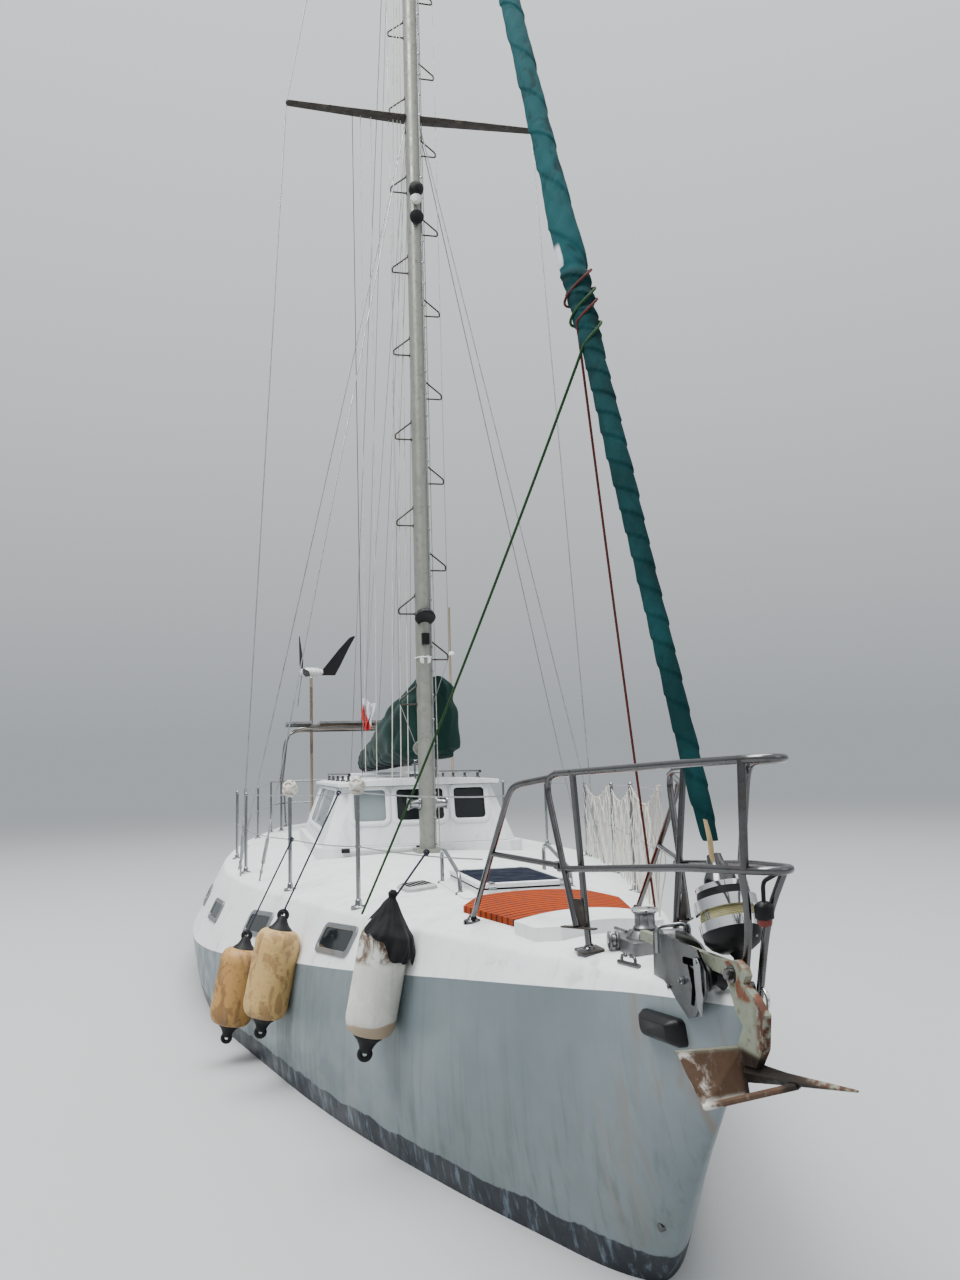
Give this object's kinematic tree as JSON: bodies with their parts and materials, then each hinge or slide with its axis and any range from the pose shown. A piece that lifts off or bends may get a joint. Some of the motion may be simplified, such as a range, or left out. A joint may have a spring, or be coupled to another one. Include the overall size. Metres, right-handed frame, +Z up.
{
  "type": "sailing yacht",
  "caption": "Cruising sloop afloat, raised foredeck, pilothouse, roller headsail, covered mainsail, fin keel, working steering, hatches and wind generator.",
  "frame": {"origin": "on the centre line amidships, at the waterline", "axes": "+X to the bow, +Y to port, +Z up"},
  "size_m": [12.7, 3.7466, 15.03],
  "materials": {
    "hull_paint": "satin, weathered light grey-white",
    "deck_paint": "satin, worn white",
    "antifoul": "matt, slimy dark antifouling",
    "bronze": "dull cast bronze",
    "steel": "polished tube, tea-stained",
    "galvanised": "galvanised, rust at the hinge",
    "alloy": "weathered anodised alloy",
    "black_alloy": "dark painted",
    "glass": "dark tinted",
    "pad": "orange-brown ribbed",
    "sail_cloth": "teal sacrificial cloth",
    "cover_cloth": "dark green cover cloth",
    "fender": "scuffed and stained",
    "blade": "black",
    "canvas": "faded brown",
    "drum": "polished with a dark band",
    "solar": "dark cells under glass",
    "pole": "faded tan",
    "wire": "stranded wire"
  },
  "bodies": {
    "yacht": {"hull": "hull_paint", "deck_fore": "deck_paint", "deck_middle": "deck_paint", "deck_aft": "deck_paint", "keel": "antifoul", "shaft_bracket": "bronze", "foredeck_step": "deck_paint", "foredeck_pad": "pad", "hatch_coaming": "alloy", "cabin_skirt": "deck_paint", "cabin_front": "deck_paint", "cabin_side_starboard": "deck_paint", "cabin_side_port": "deck_paint", "cabin_aft": "deck_paint", "glass_front_centre": "glass", "glass_front_starboard": "glass", "glass_front_port": "glass", "glass_side_starboard": "glass", "glass_side_port": "glass", "cabin_roof": "deck_paint", "steering_pedestal": "steel", "windlass_base": "alloy", "bow_roller": "steel", "anchor": "galvanised", "pulpit": "steel", "pushpit": "steel", "lifelines_starboard": "steel", "lifelines_port": "steel", "spreader_starboard": "black_alloy", "spreader_port": "black_alloy", "cap_shroud_starboard": "wire", "cap_shroud_port": "wire", "lower_shrouds_starboard": "wire", "lower_shrouds_port": "wire", "mast": "alloy", "backstay": "wire", "forestay": "wire", "furler_drum": "drum", "furled_headsail": "sail_cloth", "generator_pole": "pole", "lamp_pole": "pole", "bimini_frame": "steel", "bimini_top": "canvas", "solar_panels": "solar", "fender_bow": "fender", "fender_middle": "fender", "fender_aft": "fender"},
    "propeller": {"propeller": "bronze"},
    "rudder": {"rudder": "antifoul"},
    "steering_wheel": {"steering_wheel": "steel"},
    "boom": {"boom": "alloy", "sail_cover": "cover_cloth"},
    "generator_head": {"generator_head": "deck_paint"},
    "generator_rotor": {"generator_rotor": "blade"},
    "fore_hatch": {"hatch_lid": "glass"},
    "slide_hatch": {"slide_hatch": "deck_paint"},
    "cabin_door": {"cabin_door": "deck_paint"},
    "locker_lid": {"locker_lid": "deck_paint"},
    "windlass_drum": {"windlass_drum": "alloy"}
  },
  "joints": [
    {"name": "propeller_spin", "type": "hinge", "parent": "yacht", "child": "propeller", "pos_m": [-3.99, 0, -0.77643], "axis": [-0.9903, 0, -0.1392], "continuous": true},
    {"name": "rudder_turn", "type": "hinge", "parent": "yacht", "child": "rudder", "pos_m": [-4.95, 0, -0.9], "axis": [0, 0, 1], "range_deg": [-35, 35]},
    {"name": "wheel_turn", "type": "hinge", "parent": "yacht", "child": "steering_wheel", "pos_m": [-4.42, 0, 1.29], "axis": [1, 0, 0], "range_deg": [-281, 281]},
    {"name": "boom_swing", "type": "hinge", "parent": "yacht", "child": "boom", "pos_m": [0.59, 0, 1.905], "axis": [0, 0, 1], "range_deg": [-55, 55]},
    {"name": "generator_yaw", "type": "hinge", "parent": "yacht", "child": "generator_head", "pos_m": [-5.45, -0.56, 3.125], "axis": [0, 0, 1], "continuous": true},
    {"name": "rotor_spin", "type": "hinge", "parent": "generator_head", "child": "generator_rotor", "pos_m": [-5.43347, -0.6839, 3.125], "axis": [0.1323, -0.9912, 0], "continuous": true},
    {"name": "fore_hatch_lift", "type": "hinge", "parent": "yacht", "child": "fore_hatch", "pos_m": [3.71, 0, 1.16], "axis": [0, 1, 0], "range_deg": [0, 90]},
    {"name": "slide_hatch_slide", "type": "slide", "parent": "yacht", "child": "slide_hatch", "axis": [1, 0, 0], "range_m": [0, 0.6]},
    {"name": "cabin_door_swing", "type": "hinge", "parent": "yacht", "child": "cabin_door", "pos_m": [-2.506, 0.286, 1.345], "axis": [0, 0, -1], "range_deg": [0, 110]},
    {"name": "locker_lift", "type": "hinge", "parent": "yacht", "child": "locker_lid", "pos_m": [-3.7, -1.078, 0.994], "axis": [1, 0, 0], "range_deg": [0, 85]},
    {"name": "windlass_turn", "type": "hinge", "parent": "yacht", "child": "windlass_drum", "pos_m": [5.28, 0, 1.156], "axis": [0, 0, 1], "continuous": true}
  ],
  "couplings": [
    {"joint": "wheel_turn", "follows": "rudder_turn", "ratio": 8}
  ]
}
